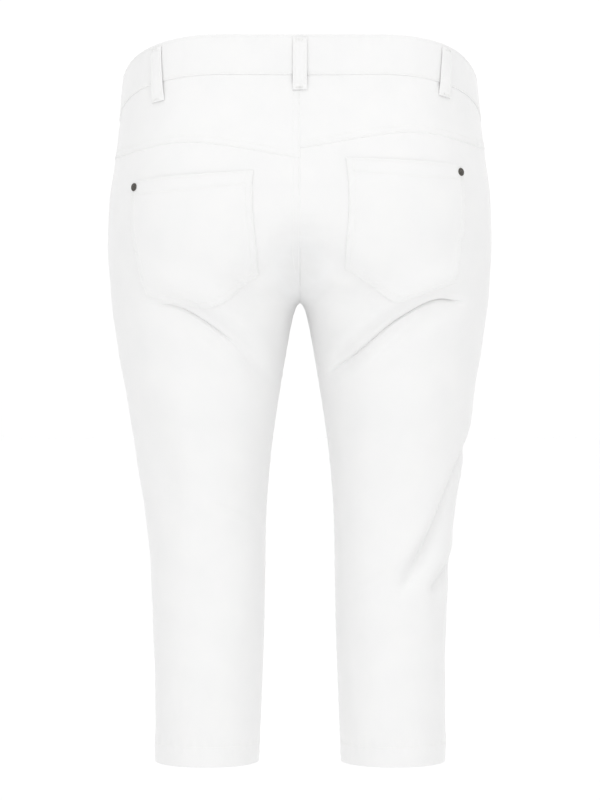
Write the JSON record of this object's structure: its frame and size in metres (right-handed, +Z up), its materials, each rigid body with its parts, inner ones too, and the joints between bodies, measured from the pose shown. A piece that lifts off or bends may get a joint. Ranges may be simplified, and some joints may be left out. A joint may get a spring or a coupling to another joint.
{
  "type": "capri pants",
  "caption": "White stretch twill capri trousers in worn form: shaped waistband with belt loops, back yoke, patch pockets with rivets, buttoned fly, slim legs ending at the calf.",
  "frame": {"origin": "centre of the waist opening, on the centre plane, where the wearer's waist holds the trousers up", "axes": "+Z up, out of the waist opening; -Y the way the wearer faces, so the back pockets are on +Y; +X the wearer's left side"},
  "size_m": [0.4148, 0.2763, 0.7728],
  "materials": {
    "white_twill": "matt white stretch cotton twill, softly brushed",
    "gunmetal": "dark gunmetal plating with a soft shine"
  },
  "bodies": {
    "root": {"back_left": "white_twill", "back_right": "white_twill", "front_left": "white_twill", "front_right": "white_twill", "yoke_left": "white_twill", "yoke_right": "white_twill", "waistband_left": "white_twill", "waistband_right": "white_twill", "back_pocket_left": "white_twill", "back_pocket_right": "white_twill", "fly": "white_twill", "belt_loop_back": "white_twill", "belt_loop_back_left": "white_twill", "belt_loop_back_right": "white_twill", "belt_loop_front_left": "white_twill", "belt_loop_front_right": "white_twill", "rivet_left": "gunmetal", "rivet_right": "gunmetal", "button": "gunmetal"}
  },
  "joints": []
}
